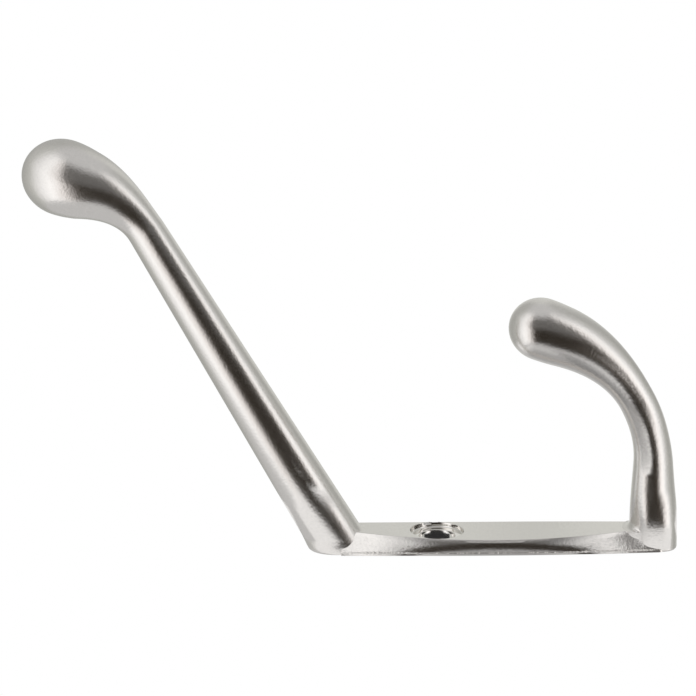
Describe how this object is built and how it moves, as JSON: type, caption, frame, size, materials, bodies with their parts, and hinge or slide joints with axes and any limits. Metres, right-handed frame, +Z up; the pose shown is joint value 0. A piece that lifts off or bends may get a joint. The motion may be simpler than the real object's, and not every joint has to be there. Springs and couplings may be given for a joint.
{
  "type": "hat and coat hook",
  "caption": "Wall hook with a long straight hat prong and a curved coat prong on a short back plate with a countersunk screw hole.",
  "frame": {"origin": "where the screw hole's axis meets the wall face of the back plate", "axes": "+Z up the wall towards the hat prong, -Y out of the wall into the room, X across the plate"},
  "size_m": [0.0118, 0.066, 0.1012],
  "materials": {
    "satin_nickel": "satin nickel plate over a tumbled casting"
  },
  "bodies": {
    "root": {"back_plate": "satin_nickel", "hat_prong": "satin_nickel", "coat_prong": "satin_nickel"}
  },
  "joints": []
}
